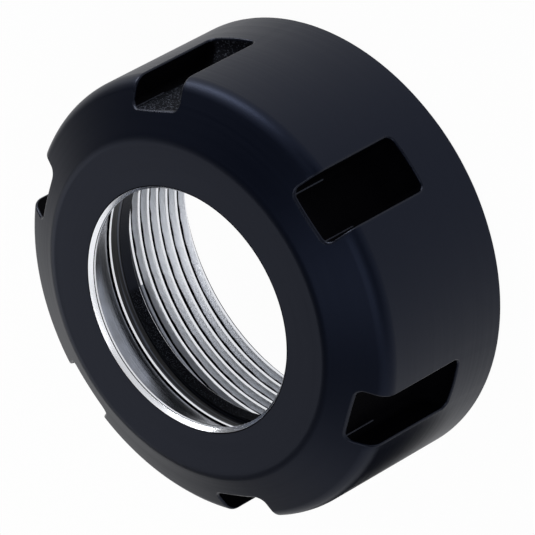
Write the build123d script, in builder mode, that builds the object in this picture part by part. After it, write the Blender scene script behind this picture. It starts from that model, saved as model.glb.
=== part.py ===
from build123d import *
import math
import os

# Collet nut for a spring collet chuck, 32 size of the 8 degree collet system.
# One forged and turned steel piece. It stands on its rear face, nose up:
# the origin is the centre of the rear face and +Z runs along the axis to the nose.
# All lengths are in millimetres, all angles in degrees.

# Spindle thread, M40 x 1.5, left as a plain bore at its minor diameter
thread_major_diameter = 40.0
thread_pitch = 1.5
thread_height_ratio = 1.0825     # major less minor diameter of an ISO metric thread, over its pitch
thread_lead_in_clearance = 0.15  # the 45 degree lead-in opens this far past the major radius
relief_width = 2.15              # groove between the thread and the extraction ring
relief_depth = 0.3               # the groove is this much deeper than the thread
relief_corner_radius = 0.4

# Outside of the turned blank
nut_diameter = 50.0
nut_length = 22.5
rear_chamfer = 1.0
nose_depth = 3.35                # from the front face to the sharp corner of cylinder and nose cone
shoulder_radius = 2.2
face_diameter = 38.2             # flat front face, measured to its sharp rim
face_rim_radius = 1.9

# Seat for the collet, from the front face inwards
mouth_diameter = 27.04
mouth_chamfer_width = 0.35
mouth_chamfer_depth = 0.45
mouth_land_depth = 0.8           # depth at which the seat cone starts
seat_half_angle = 30.0
recess_diameter = 33.1           # takes the rim of the collet head
corner_relief_width = 0.3
corner_relief_depth = 0.25

# Extraction ring, a lip with its bore set off the axis so that the collet snaps in
ring_front_depth = 8.0           # below the front face
ring_width = 1.75
ring_diameter = 32.2
ring_offset = 0.42
ring_offset_angle = 131.0
ring_rear_chamfer = 0.2

# Spanner slots, sunk into the cylinder and open through the nose cone
slot_count = 6
slot_width = 6.6
slot_length = 15.0               # from the front face to the end wall
slot_floor_wall = 1.5            # least steel between the slot floor and the relief groove
slot_end_radius = 2.4            # where the floor sweeps up into the end wall
slot_corner_radius = 0.8         # along the floor and up the rear corners
slot_edge_radius = 0.25
slot_end_share = 0.75            # the end round takes up at most this share of the slot's depth
slot_corner_share = 0.5          # the smaller rounds at most this share of the wall that they end in

# How far a cutting shape reaches past the surface that it opens
overcut = 1.0

# A point this close to a surface lies on it
on_surface = 0.001

thread_minor_radius = (thread_major_diameter - thread_height_ratio * thread_pitch) / 2
thread_major_radius = thread_major_diameter / 2
lead_in_radius = thread_major_radius + thread_lead_in_clearance
lead_in_depth = lead_in_radius - thread_minor_radius
relief_radius = thread_major_radius + relief_depth
nut_radius = nut_diameter / 2
shoulder_z = nut_length - nose_depth
face_radius = face_diameter / 2
mouth_radius = mouth_diameter / 2
recess_radius = recess_diameter / 2
seat_front_z = nut_length - mouth_land_depth
seat_rear_z = seat_front_z - (recess_radius - mouth_radius) / math.tan(math.radians(seat_half_angle))
corner_relief_z = seat_rear_z - corner_relief_width
ring_front_z = nut_length - ring_front_depth
ring_rear_z = ring_front_z - ring_width
thread_front_z = ring_rear_z - relief_width
ring_x = ring_offset * math.cos(math.radians(ring_offset_angle))
ring_y = ring_offset * math.sin(math.radians(ring_offset_angle))
slot_floor_distance = relief_radius + slot_floor_wall
slot_rear_z = nut_length - slot_length
slot_depth = nut_radius - slot_floor_distance
side_depth = math.sqrt(nut_radius**2 - (slot_width / 2) ** 2) - slot_floor_distance
end_round = min(slot_end_radius, slot_end_share * slot_depth)
corner_round = min(slot_corner_radius, slot_corner_share * min(end_round, side_depth))
edge_room = min(slot_depth - end_round, side_depth - corner_round)
edge_round = min(slot_edge_radius, slot_corner_share * edge_room)

# The shape of one spanner slot: flat floor, end wall on a large radius, rounded corners
with BuildPart() as slot_form:
    with BuildSketch(Plane.XZ) as slot_side:
        with BuildLine():
            Polyline(
                (slot_floor_distance, slot_rear_z),
                (nut_radius + overcut, slot_rear_z),
                (nut_radius + overcut, nut_length + overcut),
                (slot_floor_distance, nut_length + overcut),
                close=True,
            )
        make_face()
        end_corner = slot_side.vertices().sort_by_distance((slot_floor_distance, slot_rear_z))[0]
        fillet(end_corner, end_round)
    extrude(amount=slot_width / 2, both=True)
    side_walls = slot_form.faces().filter_by(Axis.Y)
    open_edges = slot_form.faces().sort_by(Axis.X)[-1].edges() + slot_form.faces().sort_by(Axis.Z)[-1].edges()
    corner_edges = [edge for edge in side_walls.edges() if edge not in open_edges]
    fillet(corner_edges, corner_round)

with BuildPart() as collet_nut:
    # Turned outside: rear chamfer, cylinder, rounded shoulder, nose cone, flat face
    with BuildSketch(Plane.XZ) as outside:
        with BuildLine():
            Polyline(
                (0, 0),
                (nut_radius - rear_chamfer, 0),
                (nut_radius, rear_chamfer),
                (nut_radius, shoulder_z),
                (face_radius, nut_length),
                (0, nut_length),
                close=True,
            )
        make_face()
        shoulder = outside.vertices().sort_by_distance((nut_radius, shoulder_z))[0]
        fillet(shoulder, shoulder_radius)
        face_rim = outside.vertices().sort_by_distance((face_radius, nut_length))[0]
        fillet(face_rim, face_rim_radius)
    revolve(axis=Axis.Z)

    # Spanner slots, evenly spaced, with their mouths rounded all the way round
    turned_skin = collet_nut.part.shell()
    with PolarLocations(0, slot_count):
        add(slot_form.part, mode=Mode.SUBTRACT)
    cut_edges = collet_nut.edges(Select.NEW)
    mouth_edges = [edge for edge in cut_edges if turned_skin.distance_to(edge @ 0.5) < on_surface]
    fillet(mouth_edges, edge_round)

    # Mouth chamfer, short land, seat cone, corner relief and recess, cut from the front
    with BuildSketch(Plane.XZ):
        with BuildLine():
            Polyline(
                (0, nut_length),
                (mouth_radius + mouth_chamfer_width, nut_length),
                (mouth_radius, nut_length - mouth_chamfer_depth),
                (mouth_radius, seat_front_z),
                (recess_radius, seat_rear_z),
                (recess_radius + corner_relief_depth, seat_rear_z),
                (recess_radius + corner_relief_depth, corner_relief_z),
                (recess_radius, corner_relief_z),
                (recess_radius, ring_front_z),
                (0, ring_front_z),
                close=True,
            )
        make_face()
    revolve(axis=Axis.Z, mode=Mode.SUBTRACT)

    # Eccentric bore of the extraction ring
    with BuildSketch(Plane.XY.offset(ring_rear_z)):
        with Locations((ring_x, ring_y)):
            Circle(ring_diameter / 2)
    extrude(amount=ring_front_z - ring_rear_z, mode=Mode.SUBTRACT)

    # Thread bore with its lead-in, and the relief groove behind the ring
    with BuildSketch(Plane.XZ) as thread_side:
        with BuildLine():
            Polyline(
                (0, 0),
                (lead_in_radius, 0),
                (thread_minor_radius, lead_in_depth),
                (thread_minor_radius, thread_front_z),
                (relief_radius, thread_front_z),
                (relief_radius, ring_rear_z),
                (0, ring_rear_z),
                close=True,
            )
        make_face()
        fillet(thread_side.vertices().group_by(Axis.X)[-1], relief_corner_radius)
    revolve(axis=Axis.Z, mode=Mode.SUBTRACT)

    # The ring's rear edge is broken where the collet is pushed in
    round_edges = collet_nut.edges().filter_by(GeomType.CIRCLE)
    ring_edges = round_edges.filter_by_position(Axis.Z, ring_rear_z - on_surface, ring_rear_z + on_surface)
    chamfer(ring_edges.sort_by(SortBy.RADIUS)[0], ring_rear_chamfer)

collet_nut.part.label = "collet_nut"

os.makedirs("parts", exist_ok=True)
export_step(collet_nut.part, "parts/collet_nut.step")
print("volume", round(collet_nut.part.volume), "mm3, seat cone down to z", round(seat_rear_z, 3))
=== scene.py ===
import math

import bmesh
import bpy
import numpy as np
from bpy.props import FloatProperty, IntProperty, PointerProperty, StringProperty
from mathutils import Matrix, Vector


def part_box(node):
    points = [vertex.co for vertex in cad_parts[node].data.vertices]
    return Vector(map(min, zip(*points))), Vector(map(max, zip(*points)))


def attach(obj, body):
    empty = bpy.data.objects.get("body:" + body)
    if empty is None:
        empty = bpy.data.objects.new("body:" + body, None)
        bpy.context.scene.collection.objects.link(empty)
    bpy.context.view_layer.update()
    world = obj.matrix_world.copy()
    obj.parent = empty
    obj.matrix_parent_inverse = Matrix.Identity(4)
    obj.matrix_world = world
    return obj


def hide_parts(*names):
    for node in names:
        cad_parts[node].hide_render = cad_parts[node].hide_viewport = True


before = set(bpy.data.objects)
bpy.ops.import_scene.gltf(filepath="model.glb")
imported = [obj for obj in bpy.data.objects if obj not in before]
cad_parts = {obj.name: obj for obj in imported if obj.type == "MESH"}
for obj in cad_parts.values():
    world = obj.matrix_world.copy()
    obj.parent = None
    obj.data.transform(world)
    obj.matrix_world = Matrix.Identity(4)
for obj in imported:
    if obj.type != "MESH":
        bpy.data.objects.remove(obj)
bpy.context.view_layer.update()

bl_info = {
    "name": "Collet Nut",
    "version": (1, 0, 0),
    "blender": (4, 5, 0),
    "location": "3D View > Sidebar > Collet Nut",
    "description": "Builds a blackened collet nut with its spindle thread, and a plain photo stage",
    "category": "Add Mesh",
}

MM = 0.001

# Limits between which almost all of the noise lies
NOISE_RANGE = {"From Min": 0.3, "From Max": 0.7}

# Direction in degrees from which, for half a turn, the lip is painted black and dull: painted shade
DULL_START = 158
NODE = "collet_nut"
BODY = "root"
node_low, node_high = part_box(NODE)


def length(name, millimetres, description):
    """A length property whose default is given in millimetres."""
    return FloatProperty(
        name=name, description=description, default=millimetres * MM, precision=6,
        subtype="DISTANCE", unit="LENGTH",
    )


def angle(name, degrees, description):
    """An angle property whose default is given in degrees."""
    return FloatProperty(
        name=name, description=description, default=math.radians(degrees), precision=4,
        subtype="ANGLE", unit="ROTATION",
    )


def colour(name, sheet_hex, description):
    """A colour property, kept as the hex value of its sRGB colour."""
    return StringProperty(name=name, description=description, default=sheet_hex, maxlen=7)


def share(name, default, description):
    """A number from nothing to all."""
    return FloatProperty(
        name=name, description=description, default=default, min=0.0, max=1.0, subtype="FACTOR",
    )


def number(name, default, description):
    """A plain number."""
    return FloatProperty(name=name, description=description, default=default, min=0.0)


class ColletNutSizes(bpy.types.PropertyGroup):
    """Sizes of the nut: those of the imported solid, and a few finer ones that it leaves out"""

    nut_length: length("Nut length", (node_high.z - node_low.z) / MM, "From the rear face to the front face")
    nut_diameter: length("Nut diameter", (node_high.y - node_low.y) / MM, "Outside of the plain cylinder")
    rear_chamfer: length("Rear chamfer", 1.0, "Both legs of the chamfer on the rear rim")
    nose_depth: length("Nose depth", 3.35, "Front face to the corner between cylinder and nose cone")
    shoulder_radius: length("Shoulder radius", 2.2, "Round between cylinder and nose cone")
    face_diameter: length("Face diameter", 38.2, "Flat front face, to its sharp rim")
    face_rim_radius: length("Face rim radius", 1.9, "Round between nose cone and front face")
    edge_break: length("Edge break", 0.05, "Round left on the turned edges by the polishing belt")

    mouth_diameter: length("Mouth diameter", 27.04, "Bore that the collet's nose looks out of")
    mouth_chamfer_width: length("Mouth chamfer width", 0.35, "Radial leg of the bright chamfer")
    mouth_chamfer_depth: length("Mouth chamfer depth", 0.45, "Axial leg of the bright chamfer")
    mouth_line: length("Mouth line", 0.12, "Dark line on each side of the bright chamfer")
    mouth_land_depth: length("Mouth land depth", 0.8, "Depth at which the seat cone starts")
    seat_half_angle: angle("Seat half angle", 30.0, "Between the seat cone and the axis")
    recess_diameter: length("Recess diameter", 33.1, "Takes the rim of the collet head")
    corner_relief_width: length("Corner relief width", 0.3, "Groove between seat cone and recess")
    corner_relief_depth: length("Corner relief depth", 0.25, "How far the groove goes past the recess")
    recess_band: length("Recess band", 0.3, "Bright front band of the recess, wiped by the collets")

    ring_front_depth: length("Lip depth", 8.0, "Front face to the extraction lip")
    ring_width: length("Lip width", 1.75, "Thickness of the extraction lip")
    ring_diameter: length("Lip diameter", 32.2, "Bore of the extraction lip")
    ring_offset: length("Lip offset", 0.42, "How far the lip's bore is set off the axis")
    ring_offset_angle: angle("Lip offset direction", 131.0, "Where the lip's bore is set off to")
    ring_chamfer: length("Lip chamfer", 0.2, "Broken rear edge of the lip")

    relief_width: length("Relief width", 2.15, "Groove between thread and extraction lip")
    relief_depth: length("Relief depth", 0.3, "How far the groove goes past the thread")
    relief_radius: length("Relief corner radius", 0.4, "Round in the corners of the groove")
    thread_diameter: length("Thread diameter", 40.0, "Major diameter of the spindle thread")
    thread_pitch: length("Thread pitch", 1.5, "Of the right-hand spindle thread")
    thread_start: angle("Thread start", 92.0, "Direction in which a root meets the rear face")
    thread_end: length("Thread end", 10.03, "Height of the crest at the notch, where the turn goes dull")
    thread_lead_in: length("Thread lead-in", 0.15, "How far the lead-in opens past the major radius")

    slot_count: IntProperty(name="Spanner slots", description="Evenly spaced", default=6, min=1)
    slot_width: length("Slot width", 6.6, "Between the side walls")
    slot_length: length("Slot length", 15.0, "Front face to the end wall")
    slot_floor_wall: length("Slot floor wall", 1.5, "Least steel between slot floor and relief groove")
    slot_end_radius: length("Slot end radius", 2.4, "Sweep of the floor into the end wall")
    slot_corner_radius: length("Slot corner radius", 0.8, "Along the floor and up the rear corners")
    slot_edge_radius: length("Slot edge radius", 0.25, "Rounded mouth of the slot")


class ColletNutFinish(bpy.types.PropertyGroup):
    """Colours and gloss of the nut's surfaces"""

    oxide_colour: colour("Black oxide", "#03050E", "Body colour of the oxide coat")
    bored_colour: colour("Bored oxide", "#121419", "Body colour of the coat on the bored lip")
    # Also the black of the painted shade on the lip's far half and in the thread's roots
    pit_and_shade_colour: colour("Pitted oxide", "#010103", "Oxide in the pits that the grit left")
    oxide_sheen_colour: colour("Oxide sheen", "#B4C8FF", "Blue cast of what the coat mirrors")
    edge_sheen_colour: colour("Edge sheen", "#D0DCFF", "Cast of what the burnished coat mirrors")
    steel_colour: colour("Bright steel", "#F1F3F8", "Freshly cut steel without a coat")
    worn_colour: colour("Worn steel", "#4A4E58", "Steel that shows through the oxide on the tool marks")
    thread_colour: colour("Thread", "#E9ECF2", "Steel of the thread's flanks")
    # A darker copy of the thread's colour: painted shade on its first turn and its unhidden front flanks
    painted_shade_thread_colour: colour("Dull thread", "#868A94", "Steel of the thread's dulled first turn")
    seat_colour: colour("Ground seat", "#747B8C", "Steel of the seat where it is clean")
    stain_colour: colour("Seat stain", "#4A505C", "Steel of the seat where the bath has stained it")
    oxide_ior: number("Oxide index", 1.3, "Index of refraction of the porous, oiled coat")
    edge_ior: number("Edge index", 1.34, "Index of refraction of the dense coat on edges and tool marks")
    oxide_roughness: share("Oxide roughness", 0.42, "Satin of the coat on the turned outside")
    recess_roughness: share("Recess roughness", 0.35, "Satin of the coat in the recess")
    bored_sheen: share("Bored sheen", 0.3, "Specular level of the coat on the bored lip")
    pit_roughness: share("Pit roughness", 0.75, "Dull coat where the steel is pitted")
    pit_sheen: share("Pit sheen", 0.05, "Specular level of the pitted coat, which swallows light")
    steel_roughness: share("Steel roughness", 0.24, "Satin of the turned bright steel")
    thread_roughness: share("Thread roughness", 0.45, "Torn satin of the cut thread")
    # Painted shade: from this distance from the axis the thread's roots are drawn black
    root_shade_start: length("Root start", 19.74, "Distance from the axis from which oxide is left in the thread")


class ColletNutStage(bpy.types.PropertyGroup):
    """Floor, lamps and camera"""

    floor_side: length("Floor side", 6000.0, "Side of the square floor")
    floor_white: share("Floor white", 0.97, "How far the floor shows as plain white, not as its shading")
    mirrored_white: share("Mirrored white", 0.85, "How far it is plain white where the nut mirrors it")
    room_level: share("Room level", 0.05, "Light of the dark ceiling and rear wall")
    curtain_level: share("Curtain level", 1.0, "Light of the white curtains, plain white being 1")
    curtain_top: angle("Curtain top", 40.0, "Height of the curtains' upper edge above the horizon")
    curtain_middle: angle("Curtain middle", -30.0, "Direction of the middle of the curtains, from +X")
    curtain_side: angle("Curtain side", 120.0, "How far the curtains reach round from their middle")
    gap_top: angle("Gap top", 27.0, "Height to which the curtains are drawn up before the camera")
    gap_middle: angle("Gap middle", 0.0, "Direction of the middle of the gap under them, from +X")
    gap_side: angle("Gap side", 62.0, "How far the gap reaches round from its middle")
    gap_level: share("Gap level", 0.12, "Share of the curtains' light that is left in the gap")
    lamp_level: share("Lamp level", 1.0, "Share of their full level that the softboxes burn at")
    camera_distance: length("Camera distance", 750.6, "From the camera to the point that it looks at")
    camera_aim_x: length("Aim across", 1.88, "Where the camera looks, along X")
    camera_aim_y: length("Aim along", -0.35, "Where the camera looks, along Y")
    camera_aim_height: length("Aim height", 11.25, "Height of the point that the camera looks at")
    camera_azimuth: angle("Camera azimuth", -5.80, "Direction of the camera seen from above, from +X")
    camera_elevation: angle("Camera elevation", 41.97, "Height of the camera above the horizon")
    camera_roll: angle("Camera roll", -118.66, "Turn of the camera about its own axis")
    lens: FloatProperty(
        name="Lens", description="Focal length on a 36 mm sensor", default=477.2, subtype="DISTANCE_CAMERA",
    )


def linear(sheet_hex, alpha=1.0):
    """The linear colour of an sRGB hex value."""
    parts = [int(sheet_hex[start:start + 2], 16) / 255 for start in (1, 3, 5)]
    return (*[part / 12.92 if part <= 0.04045 else ((part + 0.055) / 1.055) ** 2.4 for part in parts], alpha)


def heading(azimuth, elevation):
    """The direction to a place, from its azimuth and elevation."""
    level = math.cos(elevation)
    return Vector((level * math.cos(azimuth), level * math.sin(azimuth), math.sin(elevation)))


def add_node(tree, kind, inputs=None, **settings):
    """Add one node. Each input is a plain value, or the output socket to link to it."""
    node = tree.nodes.new(kind)
    for name, value in settings.items():
        setattr(node, name, value)
    for name, value in (inputs or {}).items():
        if isinstance(value, bpy.types.NodeSocket):
            tree.links.new(value, node.inputs[name])
        else:
            node.inputs[name].default_value = value
    return node


def new_material(name):
    """An empty node material and its tree."""
    material = bpy.data.materials.new(name)
    material.use_nodes = True
    material.node_tree.nodes.clear()
    return material, material.node_tree


def turning_rings(tree, spacing, detail=2.0):
    """Tool marks that run round the axis, from 0.3 in their valleys to 0.7 on their ridges.

    They are about the given number of millimetres apart, and change slowly along their way.
    """
    place = add_node(tree, "ShaderNodeTexCoord").outputs["Object"]
    parts = add_node(tree, "ShaderNodeSeparateXYZ", {0: place})
    spoke = add_node(tree, "ShaderNodeCombineXYZ", {"X": parts.outputs["X"], "Y": parts.outputs["Y"]})
    radius = add_node(tree, "ShaderNodeVectorMath", {0: spoke.outputs[0]}, operation="LENGTH")
    turn = add_node(tree, "ShaderNodeMath", {
        0: parts.outputs["Y"], 1: parts.outputs["X"],
    }, operation="ARCTAN2")
    drift_per_radian = 0.2 * MM
    drift = add_node(tree, "ShaderNodeMath", {0: turn.outputs[0], 1: drift_per_radian}, operation="MULTIPLY")
    unrolled = add_node(tree, "ShaderNodeCombineXYZ", {
        "X": radius.outputs["Value"], "Y": parts.outputs["Z"], "Z": drift.outputs[0],
    })
    return add_node(tree, "ShaderNodeTexNoise", {
        "Vector": unrolled.outputs[0], "Scale": 1 / (spacing * MM), "Detail": detail,
    }).outputs["Fac"]


def cloudy_grain(tree, size, detail=1.0):
    """Grains or clouds of about the given size in millimetres, mostly between 0.3 and 0.7."""
    place = add_node(tree, "ShaderNodeTexCoord").outputs["Object"]
    return add_node(tree, "ShaderNodeTexNoise", {
        "Vector": place, "Scale": 1 / (size * MM), "Detail": detail,
    }).outputs["Fac"]


def towards(tree, direction, start, end):
    """A mask that rises from nothing to all between two distances from the axis in millimetres, one way."""
    place = add_node(tree, "ShaderNodeTexCoord").outputs["Object"]
    along = add_node(tree, "ShaderNodeVectorMath", {0: place, 1: direction}, operation="DOT_PRODUCT")
    return add_node(tree, "ShaderNodeMapRange", {
        "Value": along.outputs["Value"], "From Min": start * MM, "From Max": end * MM,
    }).outputs[0]


def bare_peaks(tree, grain, where):
    """A mask of the highest grains, which are knocked bare, within another mask."""
    peaks = add_node(tree, "ShaderNodeMapRange", {
        "Value": grain, "From Min": 0.58, "From Max": 0.68, "To Min": 0.08,
    })
    return add_node(tree, "ShaderNodeMath", {0: peaks.outputs[0], 1: where}, operation="MULTIPLY").outputs[0]


def black_oxide_turned(finish):
    """Hot black oxide on turned and belted steel.

    It is a satin, slightly blue black. Its thin porous film mirrors little when seen face on and much at a
    glance. The tool's feed of 0.1 mm is too fine to show and is drawn as faint rings 0.3 mm apart.
    """
    material, tree = new_material("black_oxide_turned")
    variation = 0.03
    satin = add_node(tree, "ShaderNodeMapRange", {
        "Value": turning_rings(tree, 0.3), **NOISE_RANGE,
        "To Min": finish.oxide_roughness - variation, "To Max": finish.oxide_roughness + variation,
    })
    texture = add_node(tree, "ShaderNodeBump", {"Height": cloudy_grain(tree, 0.4), "Distance": 0.002 * MM})
    coat = add_node(tree, "ShaderNodeBsdfPrincipled", {
        "Base Color": linear(finish.oxide_colour),
        "Roughness": satin.outputs[0],
        "IOR": finish.oxide_ior,
        "Specular Tint": linear(finish.oxide_sheen_colour),
        "Normal": texture.outputs[0],
    })
    add_node(tree, "ShaderNodeOutputMaterial", {"Surface": coat.outputs[0]})
    return material


def black_oxide_milled(finish):
    """Hot black oxide on milled steel that was blasted with grit.

    The pits swallow light, so the slots are nearly black. On the floor and the end of the slot that lay
    uppermost in the blasting, single grains 0.2 mm across are knocked bare and glint. The same dull black
    lies in the corner relief and in the dark lines beside the mouth's chamfer.
    """
    material, tree = new_material("black_oxide_milled")
    grain = cloudy_grain(tree, 0.2)
    blasted_slot = math.radians(60)
    # A side wall faces across the slot. The floor, 21.8 mm from the axis, and the end wall don't
    across_slot = heading(blasted_slot + math.pi / 2, 0)
    facing = add_node(tree, "ShaderNodeTexCoord").outputs["Normal"]
    sideways = add_node(tree, "ShaderNodeVectorMath", {0: facing, 1: across_slot}, operation="DOT_PRODUCT")
    turned_aside = add_node(tree, "ShaderNodeMath", {0: sideways.outputs["Value"]}, operation="ABSOLUTE")
    on_floor = add_node(tree, "ShaderNodeMapRange", {
        "Value": turned_aside.outputs[0], "From Min": 0.2, "From Max": 0.5, "To Min": 1.0, "To Max": 0.0,
    })
    in_slot = towards(tree, heading(blasted_slot, 0), 20.5, 21.5)
    where = add_node(tree, "ShaderNodeMath", {0: on_floor.outputs[0], 1: in_slot}, operation="MULTIPLY")
    bare = bare_peaks(tree, grain, where.outputs[0])
    tone = add_node(tree, "ShaderNodeMix", {
        0: bare, 6: linear(finish.pit_and_shade_colour), 7: linear(finish.worn_colour),
    }, data_type="RGBA")
    texture = add_node(tree, "ShaderNodeBump", {"Height": grain, "Distance": 0.05 * MM})
    coat = add_node(tree, "ShaderNodeBsdfPrincipled", {
        "Base Color": tone.outputs[2],
        "Metallic": bare,
        "Roughness": finish.pit_roughness,
        "IOR": finish.oxide_ior,
        "Specular IOR Level": finish.pit_sheen,
        "Normal": texture.outputs[0],
    })
    add_node(tree, "ShaderNodeOutputMaterial", {"Surface": coat.outputs[0]})
    return material


def black_oxide_rubbed(finish):
    """Black oxide burnished on the rounded mouths of the slots, so that they catch a thin line of light.

    A line in each slot's corners is burnished too, and so is the lip's broken edge up to the notch.
    """
    material, tree = new_material("black_oxide_rubbed")
    satin = add_node(tree, "ShaderNodeMapRange", {
        "Value": cloudy_grain(tree, 0.3), **NOISE_RANGE, "To Min": 0.25, "To Max": 0.45,
    })
    coat = add_node(tree, "ShaderNodeBsdfPrincipled", {
        "Base Color": linear(finish.oxide_colour),
        "Roughness": satin.outputs[0],
        "IOR": finish.edge_ior,
        "Specular Tint": linear(finish.edge_sheen_colour),
    })
    add_node(tree, "ShaderNodeOutputMaterial", {"Surface": coat.outputs[0]})
    return material


def bright_steel_turned(finish):
    """Bright turned steel of the mouth's chamfer and land, the recess's front band and the thread's crests.

    It mirrors the white floor in a soft line. Its finishing cut left rings 0.12 mm apart.
    """
    material, tree = new_material("bright_steel_turned")
    rings = turning_rings(tree, 0.12)
    texture = add_node(tree, "ShaderNodeBump", {"Height": rings, "Distance": 0.0008 * MM})
    steel = add_node(tree, "ShaderNodeBsdfPrincipled", {
        "Base Color": linear(finish.steel_colour),
        "Metallic": 1.0,
        "Roughness": finish.steel_roughness,
        "Normal": texture.outputs[0],
    })
    add_node(tree, "ShaderNodeOutputMaterial", {"Surface": steel.outputs[0]})
    return material


def ground_steel_seat(finish):
    """Ground steel of the collet seat.

    Streaks of the wheel 0.25 mm apart run round the cone, and the blackening bath has left blue grey clouds
    a few millimetres wide.
    """
    material, tree = new_material("ground_steel_seat")
    streaks = turning_rings(tree, 0.25, 4.0)
    clouds = add_node(tree, "ShaderNodeMapRange", {
        "Value": cloudy_grain(tree, 3.5, 3.0), "From Min": 0.35, "From Max": 0.65,
    })
    tone = add_node(tree, "ShaderNodeMix", {
        0: clouds.outputs[0], 6: linear(finish.seat_colour), 7: linear(finish.stain_colour),
    }, data_type="RGBA")
    satin = add_node(tree, "ShaderNodeMapRange", {
        "Value": streaks, **NOISE_RANGE, "To Min": 0.08, "To Max": 0.2,
    })
    texture = add_node(tree, "ShaderNodeBump", {"Height": streaks, "Distance": 0.008 * MM})
    steel = add_node(tree, "ShaderNodeBsdfPrincipled", {
        "Base Color": tone.outputs[2],
        "Metallic": 1.0,
        "Roughness": satin.outputs[0],
        "Normal": texture.outputs[0],
    })
    add_node(tree, "ShaderNodeOutputMaterial", {"Surface": steel.outputs[0]})
    return material


def black_oxide_recess(finish):
    """Black oxide in the turned recess, rubbed through to grey steel on tool marks 0.28 mm apart."""
    material, tree = new_material("black_oxide_recess")
    rings = turning_rings(tree, 0.28, 1.0)
    worn = add_node(tree, "ShaderNodeMapRange", {"Value": rings, "From Min": 0.52, "From Max": 0.66})
    tone = add_node(tree, "ShaderNodeMix", {
        0: worn.outputs[0], 6: linear(finish.oxide_colour), 7: linear(finish.worn_colour),
    }, data_type="RGBA")
    texture = add_node(tree, "ShaderNodeBump", {"Height": rings, "Distance": 0.02 * MM})
    coat = add_node(tree, "ShaderNodeBsdfPrincipled", {
        "Base Color": tone.outputs[2],
        "Metallic": worn.outputs[0],
        "Roughness": finish.recess_roughness,
        "IOR": finish.oxide_ior,
        "Normal": texture.outputs[0],
    })
    add_node(tree, "ShaderNodeOutputMaterial", {"Surface": coat.outputs[0]})
    return material


def black_oxide_bored(finish):
    """Black oxide on the smoothly bored lip and the groove behind it, an even dark grey satin.

    From the notch on, for half a turn, it is painted black and dull, with bare grains 0.12 mm across:
    painted shade.
    """
    material, tree = new_material("black_oxide_bored")
    grain = cloudy_grain(tree, 0.12)
    marks = add_node(tree, "ShaderNodeBump", {"Height": turning_rings(tree, 0.2), "Distance": 0.004 * MM})
    satin = add_node(tree, "ShaderNodeBsdfPrincipled", {
        "Base Color": linear(finish.bored_colour),
        "Roughness": finish.oxide_roughness,
        "IOR": finish.oxide_ior,
        "Specular IOR Level": finish.bored_sheen,
        "Specular Tint": linear(finish.oxide_sheen_colour),
        "Normal": marks.outputs[0],
    })
    # From the notch on, half the lip is painted black and dull: painted shade
    painted_shade_side = heading(math.radians(DULL_START + 90), 0)
    pitted = towards(tree, painted_shade_side, -0.3, 0.3)
    rough_edge = add_node(tree, "ShaderNodeMath", {0: grain, 1: 0.5}, operation="SUBTRACT")
    ragged = add_node(tree, "ShaderNodeMath", {
        0: rough_edge.outputs[0], 1: pitted,
    }, operation="ADD", use_clamp=True)
    bare = bare_peaks(tree, grain, pitted)
    tone = add_node(tree, "ShaderNodeMix", {
        0: bare, 6: linear(finish.pit_and_shade_colour), 7: linear(finish.worn_colour),
    }, data_type="RGBA")
    pits = add_node(tree, "ShaderNodeBump", {"Height": grain, "Distance": 0.05 * MM})
    painted_shade_coat = add_node(tree, "ShaderNodeBsdfPrincipled", {
        "Base Color": tone.outputs[2],
        "Roughness": finish.pit_roughness,
        "IOR": finish.oxide_ior,
        "Specular IOR Level": finish.pit_sheen,
        "Normal": pits.outputs[0],
    })
    mix = add_node(tree, "ShaderNodeMixShader", {
        0: ragged.outputs[0], 1: satin.outputs[0], 2: painted_shade_coat.outputs[0],
    })
    add_node(tree, "ShaderNodeOutputMaterial", {"Surface": mix.outputs[0]})
    return material


def cut_thread(name, sheet_hex, finish):
    """Steel of the cut thread, a satin with torn grains 0.16 mm across.

    Deep in the roots a black line with a ragged edge between the turns is painted shade.
    """
    material, tree = new_material(name)
    grain = cloudy_grain(tree, 0.16)
    variation = 0.1
    satin = add_node(tree, "ShaderNodeMapRange", {
        "Value": grain, **NOISE_RANGE,
        "To Min": finish.thread_roughness - variation, "To Max": finish.thread_roughness + variation,
    })
    texture = add_node(tree, "ShaderNodeBump", {"Height": grain, "Distance": 0.035 * MM})
    steel = add_node(tree, "ShaderNodeBsdfPrincipled", {
        "Base Color": linear(sheet_hex),
        "Metallic": 1.0,
        "Roughness": satin.outputs[0],
        "Normal": texture.outputs[0],
    })
    # Painted shade: the roots are drawn in this black coat, with a ragged edge
    oxide = add_node(tree, "ShaderNodeBsdfPrincipled", {
        "Base Color": linear(finish.pit_and_shade_colour),
        "Roughness": finish.pit_roughness,
        "IOR": finish.oxide_ior,
        "Specular IOR Level": finish.pit_sheen,
        "Normal": texture.outputs[0],
    })
    place = add_node(tree, "ShaderNodeTexCoord").outputs["Object"]
    spoke = add_node(tree, "ShaderNodeVectorMath", {0: place, 1: (1, 1, 0)}, operation="MULTIPLY")
    radius = add_node(tree, "ShaderNodeVectorMath", {0: spoke.outputs[0]}, operation="LENGTH")
    wander = 0.05 * MM
    clouds = cloudy_grain(tree, 2.0)
    ragged = add_node(tree, "ShaderNodeMapRange", {
        "Value": clouds, **NOISE_RANGE, "To Min": -wander, "To Max": wander,
    })
    depth = add_node(tree, "ShaderNodeMath", {
        0: radius.outputs["Value"], 1: ragged.outputs[0],
    }, operation="ADD")
    start = finish.root_shade_start
    fade = 0.03 * MM
    in_root_shade = add_node(tree, "ShaderNodeMapRange", {
        "Value": depth.outputs[0], "From Min": start - fade, "From Max": start + fade,
    })
    mix = add_node(tree, "ShaderNodeMixShader", {
        0: in_root_shade.outputs[0], 1: steel.outputs[0], 2: oxide.outputs[0],
    })
    add_node(tree, "ShaderNodeOutputMaterial", {"Surface": mix.outputs[0]})
    return material


def bright_steel_thread(finish):
    """Bright steel on the flanks of the cut thread, a pale satin."""
    return cut_thread("bright_steel_thread", finish.thread_colour, finish)


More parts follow.
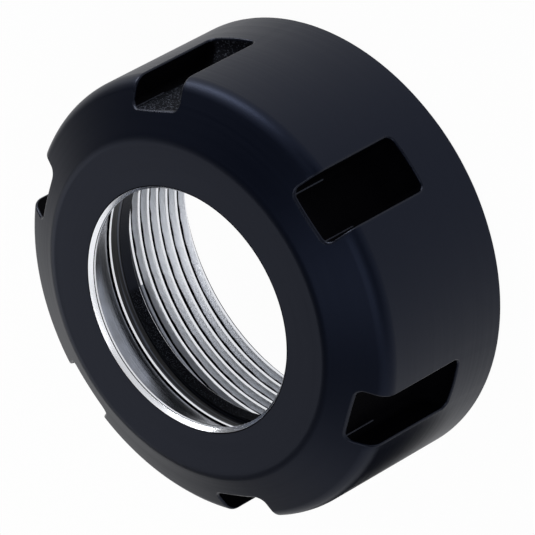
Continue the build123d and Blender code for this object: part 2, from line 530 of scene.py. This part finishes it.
def painted_shade_steel_thread(finish):
    """A darker copy of the thread's steel, a middle grey satin: painted shade on the first turn from the
    notch on, and on the front flanks that no turn hides.
    """
    return cut_thread("painted_shade_steel_thread", finish.painted_shade_thread_colour, finish)


FINISHES = [
    black_oxide_turned, black_oxide_milled, black_oxide_rubbed, bright_steel_turned, ground_steel_seat,
    black_oxide_recess, black_oxide_bored, bright_steel_thread, painted_shade_steel_thread,
]
TURNED, MILLED, RUBBED, BRIGHT, SEAT, RECESS, BORED, THREAD, PAINTED_SHADE_THREAD = range(len(FINISHES))

# Depth of an ISO metric thread on the diameter, as a share of the pitch
THREAD_HEIGHT_RATIO = 1.0825

# The ridge between two roots: share of the pitch from the root's middle, share of the thread's depth
HALF_RIDGE = [
    (0.0, 0.0), (0.047, 0.0), (0.078, 0.045), (0.13, 0.21), (0.18, 0.37), (0.23, 0.53), (0.285, 0.71),
    (0.355, 0.935), (0.378, 0.985), (0.405, 1.0), (0.5, 1.0),
]

# Share of the pitch from the root's middle at which the bright crest starts
CREST_START = 0.4

# Crests above this height have no turn before them that hides their front flank, so that flank is lit: it
# gets the darker copy of the thread's steel, a painted shade
FRONT_TURN = 9.6 * MM

# Steps of each kind of round, and columns of the mesh over half a slot and over half the space between two
ARC_STEPS = 8
SWEEP_STEPS = 12
CORNER_STEPS = 8
BEVEL_STEPS = 5
SLOT_COLUMNS = 6
SPACE_COLUMNS = 15


def rounded_path(corners):
    """Points of an outline in the plane of the axis, with the corners that have a radius rounded.

    Each corner is (radius from the axis, height, round, finish of the stretch that follows). Each point is
    (radius, height, finish of the stretch that follows).
    """
    points = []
    for index, (r, z, fillet, finish) in enumerate(corners):
        if not fillet or index in (0, len(corners) - 1):
            points.append((r, z, finish))
            continue
        here = np.array([r, z])
        back = np.array(corners[index - 1][:2]) - here
        ahead = np.array(corners[index + 1][:2]) - here
        back /= np.linalg.norm(back)
        ahead /= np.linalg.norm(ahead)
        half = math.acos(np.clip(back @ ahead, -1, 1)) / 2
        middle = (back + ahead) / np.linalg.norm(back + ahead)
        centre = here + middle * fillet / math.sin(half)
        start = here + back * fillet / math.tan(half) - centre
        end = here + ahead * fillet / math.tan(half) - centre
        sweep = math.pi - 2 * half
        for step in range(ARC_STEPS + 1):
            part = step / ARC_STEPS
            spoke = (math.sin((1 - part) * sweep) * start + math.sin(part * sweep) * end) / math.sin(sweep)
            stretch = corners[index - 1][3] if part < 0.5 else finish
            points.append((*(centre + spoke), stretch))
    return points


def outline_corners(sizes):
    """Corners of the nut's outline in three stretches, from the rear face round the nose to the thread.

    The height of the thread's front end comes last.
    """
    top = sizes.nut_length
    nut_r = sizes.nut_diameter / 2
    mouth_r = sizes.mouth_diameter / 2
    rim_r = mouth_r + sizes.mouth_chamfer_width
    recess_r = sizes.recess_diameter / 2
    groove_r = recess_r + sizes.corner_relief_depth
    ring_r = sizes.ring_diameter / 2
    thread_r = sizes.thread_diameter / 2
    relief_r = thread_r + sizes.relief_depth
    chamfer_end = top - sizes.mouth_chamfer_depth
    seat_front = top - sizes.mouth_land_depth
    seat_rear = seat_front - (recess_r - mouth_r) / math.tan(sizes.seat_half_angle)
    groove_rear = seat_rear - sizes.corner_relief_width
    ring_front = top - sizes.ring_front_depth
    ring_rear = ring_front - sizes.ring_width
    thread_front = ring_rear - sizes.relief_width
    fine = sizes.edge_break
    outside = [
        (thread_r + sizes.thread_lead_in, 0, 0, TURNED),
        (nut_r - sizes.rear_chamfer, 0, fine, TURNED),
        (nut_r, sizes.rear_chamfer, fine * 2, TURNED),
        (nut_r, top - sizes.nose_depth, sizes.shoulder_radius, TURNED),
        (sizes.face_diameter / 2, top, sizes.face_rim_radius, TURNED),
        (rim_r + sizes.mouth_line, top, 0, MILLED),
        (rim_r, top, fine / 2, BRIGHT),
        (mouth_r, chamfer_end, fine, MILLED),
        (mouth_r, chamfer_end - sizes.mouth_line, 0, BRIGHT),
        (mouth_r, seat_front, fine, SEAT),
        (recess_r, seat_rear, fine / 2, MILLED),
        (groove_r, seat_rear, 0, MILLED),
        (groove_r, groove_rear, 0, MILLED),
        (recess_r, groove_rear, fine / 2, BRIGHT),
        (recess_r, groove_rear - sizes.recess_band, 0, RECESS),
        (recess_r, ring_front, 0, RECESS),
    ]
    lip = [
        outside[-1],
        (ring_r, ring_front, fine, BORED),
        (ring_r, ring_rear + sizes.ring_chamfer, fine * 3, RUBBED),
        (ring_r + sizes.ring_chamfer, ring_rear, 0, BORED),
    ]
    relief = [
        lip[-1],
        (relief_r, ring_rear, sizes.relief_radius, BORED),
        (relief_r, thread_front, sizes.relief_radius, BORED),
        (thread_r, thread_front, 0, BORED),
    ]
    return outside, lip, relief, thread_front


def column_angles(sizes):
    """Directions of the mesh's columns. A slot's edge, which must cross no column, lies in a wider gap."""
    half = math.pi / sizes.slot_count
    edge = math.asin(sizes.slot_width / sizes.nut_diameter)
    gap_inside = math.radians(0.6)
    gap_outside = math.radians(2.4)
    inside = np.linspace(0, edge - gap_inside, SLOT_COLUMNS)
    outside = np.linspace(edge + gap_outside, half, SPACE_COLUMNS)
    one_side = np.concatenate([inside, outside])
    sector = np.concatenate([-one_side[:0:-1], one_side[:-1]])
    return np.concatenate([sector + 2 * half * slot for slot in range(sizes.slot_count)])


def ring_points(radius, height, angles, centre=(0.0, 0.0)):
    """Turned points at a radius, a height and directions. What they are turned about may be off the axis."""
    return np.stack([
        centre[0] + radius * np.cos(angles), centre[1] + radius * np.sin(angles),
        np.broadcast_to(height, angles.shape),
    ], axis=-1)


def thread_radius(sizes, turns, height):
    """Radius of the thread's surface at a place, given as turns around the axis and height."""
    major = sizes.thread_diameter / 2
    depth = THREAD_HEIGHT_RATIO * sizes.thread_pitch / 2
    phase = (height / sizes.thread_pitch - turns + sizes.thread_start / (2 * math.pi)) % 1.0
    from_root = 0.5 - np.abs(phase - 0.5)
    rise = np.interp(from_root, [place for place, _ in HALF_RIDGE], [part for _, part in HALF_RIDGE])
    return np.maximum(major - depth * rise, major + sizes.thread_lead_in - height)


def turned_mesh(sizes):
    """Points, faces and finishes of the turned nut with its thread, before the slots are milled."""
    angles = column_angles(sizes)
    count = len(angles)
    turns = angles / (2 * math.pi)
    dull = np.sin(angles - math.radians(DULL_START)) > 0
    outside, lip, relief, thread_front = outline_corners(sizes)
    lip_centre = heading(sizes.ring_offset_angle, 0) * sizes.ring_offset

    rings = []
    row_finishes = []
    for path, centre in (
        (rounded_path(outside), (0, 0)),
        (rounded_path(lip)[1:], lip_centre),
        (rounded_path(relief)[1:-1], (0, 0)),
    ):
        for r, z, finish in path:
            rings.append(ring_points(r, z, angles, centre))
            # On its dull side the lip's burnished edge is as pale as the thread
            dull_finish = THREAD if finish == RUBBED else finish
            row_finishes.append(np.where(dull, dull_finish, finish))
    rings.append(ring_points(thread_radius(sizes, turns, thread_front), thread_front, angles))
    points = np.concatenate(rings)
    faces = []
    finishes = []
    for row in range(len(rings) - 1):
        low, high = row * count, (row + 1) * count
        for column in range(count):
            after = (column + 1) % count
            faces.append((low + column, low + after, high + after, high + column))
            finishes.append(row_finishes[row][column])

    places = [place for place, _ in HALF_RIDGE]
    pitch_rows = places + [1 - place for place in reversed(places[1:-1])]
    spare_turns = 2
    last_turn = math.ceil(thread_front / sizes.thread_pitch) + spare_turns
    rows = np.array([whole + part for whole in range(-1, last_turn) for part in pitch_rows])
    offset = turns - sizes.thread_start / (2 * math.pi)
    heights = np.clip((rows[:, None] + offset) * sizes.thread_pitch, 0, thread_front)
    grid = ring_points(thread_radius(sizes, turns, heights), heights, np.broadcast_to(angles, heights.shape))
    start = len(points)
    points = np.concatenate([points, grid.reshape(-1, 3)])
    for row in range(len(rows) - 1):
        middle = (rows[row] + rows[row + 1]) / 2
        past_crest = middle % 1.0 - 0.5
        finish = BRIGHT if abs(past_crest) < 0.5 - CREST_START else THREAD
        front_flank = finish == THREAD and past_crest > 0
        crest_heights = (math.floor(middle) + 0.5 + offset) * sizes.thread_pitch
        for column in range(count):
            seam = column == count - 1
            after = (row + (len(pitch_rows) if seam else 0)) * count + (column + 1) % count
            if after + count >= len(rows) * count:
                continue
            here = row * count + column
            faces.append((start + here + count, start + after + count, start + after, start + here))
            # The darker copy of the thread's steel is painted shade, on the first turn from the notch and on
            # unhidden front flanks
            painted_shade_above = FRONT_TURN if front_flank else sizes.thread_end
            finishes.append(PAINTED_SHADE_THREAD if crest_heights[column] > painted_shade_above else finish)
    return points, faces, finishes


# Which step of a slot corner's round is burnished
LINE_STEP = 5


def slot_cutter(sizes):
    """Points, faces and finishes of the shape that one slot leaves, at +X.

    It has a flat floor, a swept end wall and rounded corners, whose front half has a burnished line.
    """
    past = 1 * MM
    floor = sizes.thread_diameter / 2 + sizes.relief_depth + sizes.slot_floor_wall
    rear = sizes.nut_length - sizes.slot_length
    outer, front = sizes.nut_diameter / 2 + past, sizes.nut_length + past
    sweep, corner, half = sizes.slot_end_radius, sizes.slot_corner_radius, sizes.slot_width / 2
    floor_middle = (rear + sweep + sizes.nut_length) / 2
    arc = np.linspace(0, math.pi / 2, SWEEP_STEPS + 1)
    path = [(outer, rear, 0.0)]
    path += [
        (floor + sweep - sweep * math.sin(slope), rear + sweep - sweep * math.cos(slope), slope)
        for slope in arc
    ]
    path += [(floor, floor_middle, math.pi / 2), (floor, front, math.pi / 2)]
    quarter = np.linspace(0, math.pi / 2, CORNER_STEPS + 1)
    section = [
        (-half + corner - corner * math.cos(turn), corner - corner * math.sin(turn)) for turn in quarter
    ]
    section += [(-side, depth) for side, depth in reversed(section)]
    points = [
        (x + depth * math.sin(slope), side, z + depth * math.cos(slope))
        for x, z, slope in path for side, depth in section
    ]
    width = len(section)
    lines = (LINE_STEP, width - 2 - LINE_STEP)
    faces = []
    finishes = []
    for row in range(len(path) - 1):
        for step in range(width - 1):
            low, high = row * width + step, (row + 1) * width + step
            faces.append((low, low + 1, high + 1, high))
            finishes.append(RUBBED if step in lines and row == len(path) - 2 else MILLED)
    left, right = len(points), len(points) + 1
    points += [(outer, -half, front), (outer, half, front)]
    last = (len(path) - 1) * width
    faces.append([*[row * width for row in range(len(path))], left])
    faces.append([*[row * width + width - 1 for row in reversed(range(len(path)))], right])
    faces.append([*reversed(range(width)), left, right])
    faces.append([*range(last, last + width), right, left])
    finishes += [MILLED] * (len(faces) - len(finishes))
    return points, faces, finishes


def mesh_object(name, points, faces, finishes=None):
    """A linked object with a mesh from plain points and faces."""
    mesh = bpy.data.meshes.new(name)
    mesh.from_pydata([tuple(point) for point in points], [], faces)
    if finishes is not None:
        mesh.polygons.foreach_set("material_index", finishes)
    mesh.update()
    made = bpy.data.objects.new(name, mesh)
    bpy.context.scene.collection.objects.link(made)
    return made


def apply_modifiers(made):
    """Replace the object's mesh by the result of its modifiers."""
    bpy.context.view_layer.update()
    result = bpy.data.meshes.new_from_object(made.evaluated_get(bpy.context.evaluated_depsgraph_get()))
    made.modifiers.clear()
    old = made.data
    made.data = result
    bpy.data.meshes.remove(old)


def close_mesh(nut):
    """Weld the turned nut's seams, and stop if a hole is left."""
    speck = 0.0005 * MM
    work = bmesh.new()
    work.from_mesh(nut.data)
    bmesh.ops.remove_doubles(work, verts=work.verts, dist=speck)
    bmesh.ops.dissolve_degenerate(work, edges=work.edges, dist=speck)
    bmesh.ops.recalc_face_normals(work, faces=work.faces)
    open_edges = [edge for edge in work.edges if len(edge.link_faces) != 2]
    work.to_mesh(nut.data)
    work.free()
    if open_edges:
        raise RuntimeError(f"the turned nut is not closed: {len(open_edges)} open edges")


def mill_slots(nut, sizes):
    """Cut the spanner slots and round their mouths."""
    points, faces, finishes = slot_cutter(sizes)
    first_slot = np.array(points)
    all_points = []
    all_faces = []
    for slot in range(sizes.slot_count):
        turn = np.array(Matrix.Rotation(2 * math.pi * slot / sizes.slot_count, 3, "Z"))
        all_faces += [[corner + len(all_points) for corner in face] for face in faces]
        all_points += [tuple(point) for point in first_slot @ turn.T]
    cutter = mesh_object("slot_cutter", all_points, all_faces, finishes * sizes.slot_count)
    normals = bmesh.new()
    normals.from_mesh(cutter.data)
    bmesh.ops.recalc_face_normals(normals, faces=normals.faces)
    normals.to_mesh(cutter.data)
    normals.free()
    cut = nut.modifiers.new("slots", "BOOLEAN")
    cut.operation = "DIFFERENCE"
    cut.solver = "EXACT"
    cut.object = cutter
    cut.material_mode = "INDEX"
    apply_modifiers(nut)
    bpy.data.objects.remove(cutter)

    work = bmesh.new()
    work.from_mesh(nut.data)
    mouth = [
        edge for edge in work.edges
        if {face.material_index for face in edge.link_faces} in ({TURNED, MILLED}, {TURNED, RUBBED})
        and edge.verts[0].co.to_2d().length > sizes.face_diameter / 2
    ]
    bmesh.ops.bevel(
        work, geom=mouth, affect="EDGES", offset=sizes.slot_edge_radius, offset_type="OFFSET",
        segments=BEVEL_STEPS, profile=0.5, clamp_overlap=False, material=RUBBED, loop_slide=True,
    )
    work.to_mesh(nut.data)
    work.free()


# Edges that turn by more than this stay sharp
SHARP_TURN = math.radians(32)

# How far the larger faces at a point set its shading: 50 is neutral, 100 the most
LARGE_FACE_WEIGHT = 80


class OBJECT_OT_collet_nut(bpy.types.Operator):
    """Build the nut: turned, threaded, with milled slots, and blackened outside"""

    bl_idname = "object.collet_nut"
    bl_label = "Build Collet Nut"
    bl_options = {"REGISTER", "UNDO"}

    def execute(self, context):
        sizes = context.scene.collet_nut_sizes
        nut = mesh_object("finished_nut", *turned_mesh(sizes))
        close_mesh(nut)
        mill_slots(nut, sizes)
        for make in FINISHES:
            nut.data.materials.append(make(context.scene.collet_nut_finish))
        nut.data.polygons.foreach_set("use_smooth", [True] * len(nut.data.polygons))
        nut.data.set_sharp_from_angle(angle=SHARP_TURN)
        shade = nut.modifiers.new("even_shading", "WEIGHTED_NORMAL")
        shade.keep_sharp = True
        shade.weight = LARGE_FACE_WEIGHT
        apply_modifiers(nut)
        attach(nut, BODY)
        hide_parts(NODE)
        return {"FINISHED"}


def lay_floor(stage):
    """A white floor, which shows almost plain white to the eye and in the steel.

    What it keeps of its own shading is a faint trace of the nut's shadow.
    """
    half = stage.floor_side / 2
    corners = [(-half, -half, 0), (half, -half, 0), (half, half, 0), (-half, half, 0)]
    floor = mesh_object("floor", corners, [(0, 1, 2, 3)])
    material, tree = new_material("white_paper")
    path = add_node(tree, "ShaderNodeLightPath")
    seen = add_node(tree, "ShaderNodeMath", {
        0: path.outputs["Is Camera Ray"], 1: stage.floor_white,
    }, operation="MULTIPLY")
    mirrored = add_node(tree, "ShaderNodeMath", {
        0: path.outputs["Is Glossy Ray"], 1: stage.mirrored_white,
    }, operation="MULTIPLY")
    level = add_node(tree, "ShaderNodeMath", {
        0: seen.outputs[0], 1: mirrored.outputs[0],
    }, operation="MAXIMUM")
    paper = add_node(tree, "ShaderNodeBsdfDiffuse", {"Color": linear("#F2F2F2")})
    glow = add_node(tree, "ShaderNodeEmission", {"Color": linear("#FFFFFF"), "Strength": 1.0})
    mix = add_node(tree, "ShaderNodeMixShader", {
        0: level.outputs[0], 1: paper.outputs[0], 2: glow.outputs[0],
    })
    add_node(tree, "ShaderNodeOutputMaterial", {"Surface": mix.outputs[0]})
    floor.data.materials.append(material)


def lay_black_card():
    """A black card beside the nut, seen only in its gloss: it darkens the lower side as a shadow would."""
    low_x, high_x = -34 * MM, 4 * MM
    low_y, high_y = -60 * MM, -29 * MM
    height = 0.5 * MM
    sides = [(low_x, low_y), (high_x, low_y), (high_x, high_y), (low_x, high_y)]
    card = mesh_object("black_card", [(x, y, height) for x, y in sides], [(0, 1, 2, 3)])
    material, tree = new_material("black_felt")
    felt = add_node(tree, "ShaderNodeBsdfDiffuse", {"Color": linear("#050505")})
    add_node(tree, "ShaderNodeOutputMaterial", {"Surface": felt.outputs[0]})
    card.data.materials.append(material)
    card.visible_camera = False
    card.visible_diffuse = False
    card.visible_shadow = False


# How softly edges fade, in sines and cosines. The gap's upper edge is the sharper one
CURTAIN_BLUR = 0.12
GAP_BLUR = 0.03


def wall_patch(tree, middle, side, top, top_blur):
    """A mask of the part of the room that lies below a height and to both sides of a direction."""
    direction = add_node(tree, "ShaderNodeTexCoord").outputs["Generated"]
    up = add_node(tree, "ShaderNodeSeparateXYZ", {0: direction}).outputs["Z"]
    aside = add_node(tree, "ShaderNodeVectorMath", {
        0: direction, 1: heading(middle, 0),
    }, operation="DOT_PRODUCT")
    below = add_node(tree, "ShaderNodeMapRange", {
        "Value": up, "From Min": math.sin(top) - top_blur, "From Max": math.sin(top) + top_blur,
        "To Min": 1.0, "To Max": 0.0,
    })
    edge = math.cos(side)
    beside = add_node(tree, "ShaderNodeMapRange", {
        "Value": aside.outputs["Value"], "From Min": edge - CURTAIN_BLUR, "From Max": edge + CURTAIN_BLUR,
    })
    return add_node(tree, "ShaderNodeMath", {
        0: below.outputs[0], 1: beside.outputs[0],
    }, operation="MULTIPLY").outputs[0]


def light_room(scene, stage):
    """White curtains before a dark rear wall and ceiling, drawn up before the camera to leave a gap."""
    scene.world = bpy.data.worlds.new("curtained_studio")
    scene.world.use_nodes = True
    tree = scene.world.node_tree
    curtains = wall_patch(tree, stage.curtain_middle, stage.curtain_side, stage.curtain_top, CURTAIN_BLUR)
    gap = wall_patch(tree, stage.gap_middle, stage.gap_side, stage.gap_top, GAP_BLUR)
    kept = add_node(tree, "ShaderNodeMapRange", {"Value": gap, "To Min": 1.0, "To Max": stage.gap_level})
    white = add_node(tree, "ShaderNodeMath", {0: curtains, 1: kept.outputs[0]}, operation="MULTIPLY")
    level = add_node(tree, "ShaderNodeMapRange", {
        "Value": white.outputs[0], "To Min": stage.room_level, "To Max": stage.curtain_level,
    })
    tree.links.new(level.outputs[0], tree.nodes["Background"].inputs["Strength"])
    tree.nodes["Background"].inputs["Color"].default_value = linear("#FFFFFF")


# Softboxes that face the nut: direction in degrees, distance and sides in millimetres, white being level 1
SOFTBOXES = [
    dict(name="low_side_light", azimuth=76, elevation=6, distance=700, width=640, height=200, level=12.0),
    dict(name="front_light", azimuth=164, elevation=30, distance=700, width=400, height=400, level=1.9),
    dict(name="bore_light", azimuth=-36, elevation=59, distance=700, width=450, height=450, level=2.2),
]


def hang_softbox(scene, stage, name, azimuth, elevation, distance, width, height, level):
    """Hang one softbox. Its power is that at which its face shines at the given level."""
    lamp = bpy.data.lights.new(name, "AREA")
    lamp.shape = "RECTANGLE"
    lamp.size = width * MM
    lamp.size_y = height * MM
    lamp.energy = stage.lamp_level * level * math.pi * lamp.size * lamp.size_y
    box = bpy.data.objects.new(name, lamp)
    toward = heading(math.radians(azimuth), math.radians(elevation))
    box.location = toward * distance * MM
    box.rotation_mode = "QUATERNION"
    box.rotation_quaternion = toward.to_track_quat("Z", "Y")
    box.visible_camera = False
    scene.collection.objects.link(box)


def aim_camera(scene, stage):
    """The camera of the photograph, turned about its own axis because there the nut lies on its rim."""
    camera = bpy.data.cameras.new("camera")
    camera.lens = stage.lens
    camera.sensor_width = 36.0
    camera.clip_end = 20.0
    eye = bpy.data.objects.new("camera", camera)
    toward = heading(stage.camera_azimuth, stage.camera_elevation)
    aim = Vector((stage.camera_aim_x, stage.camera_aim_y, stage.camera_aim_height))
    eye.location = aim + toward * stage.camera_distance
    eye.rotation_mode = "QUATERNION"
    roll = Matrix.Rotation(stage.camera_roll, 3, "Z").to_quaternion()
    eye.rotation_quaternion = toward.to_track_quat("Z", "Y") @ roll
    scene.collection.objects.link(eye)
    scene.camera = eye


class OBJECT_OT_collet_nut_stage(bpy.types.Operator):
    """Build the floor, the lamps and the camera"""

    bl_idname = "object.collet_nut_stage"
    bl_label = "Build Stage"
    bl_options = {"REGISTER", "UNDO"}

    def execute(self, context):
        stage = context.scene.collet_nut_stage
        lay_floor(stage)
        lay_black_card()
        light_room(context.scene, stage)
        for softbox in SOFTBOXES:
            hang_softbox(context.scene, stage, **softbox)
        aim_camera(context.scene, stage)
        context.scene.view_settings.view_transform = "Standard"
        return {"FINISHED"}


class VIEW3D_PT_collet_nut(bpy.types.Panel):
    """Buttons and sizes of the collet nut"""

    bl_idname = "VIEW3D_PT_collet_nut"
    bl_label = "Collet Nut"
    bl_space_type = "VIEW_3D"
    bl_region_type = "UI"
    bl_category = "Collet Nut"

    def draw(self, context):
        for operator in OPERATORS:
            self.layout.operator(operator.bl_idname)
        for group in GROUPS:
            for name in GROUPS[group].__annotations__:
                self.layout.prop(getattr(context.scene, group), name)


GROUPS = {
    "collet_nut_sizes": ColletNutSizes,
    "collet_nut_finish": ColletNutFinish,
    "collet_nut_stage": ColletNutStage,
}
OPERATORS = [OBJECT_OT_collet_nut, OBJECT_OT_collet_nut_stage]


def register():
    """Make the classes known and hang their sizes on the scene."""
    for group in [*GROUPS.values(), *OPERATORS, VIEW3D_PT_collet_nut]:
        bpy.utils.register_class(group)
    for name, group in GROUPS.items():
        setattr(bpy.types.Scene, name, PointerProperty(type=group))


def unregister():
    """Take away what register() made."""
    for name in GROUPS:
        delattr(bpy.types.Scene, name)
    for group in [VIEW3D_PT_collet_nut, *OPERATORS, *reversed(GROUPS.values())]:
        bpy.utils.unregister_class(group)


def main():
    """Build everything."""
    register()
    bpy.ops.object.collet_nut()
    bpy.ops.object.collet_nut_stage()


if __name__ == "__main__":
    main()
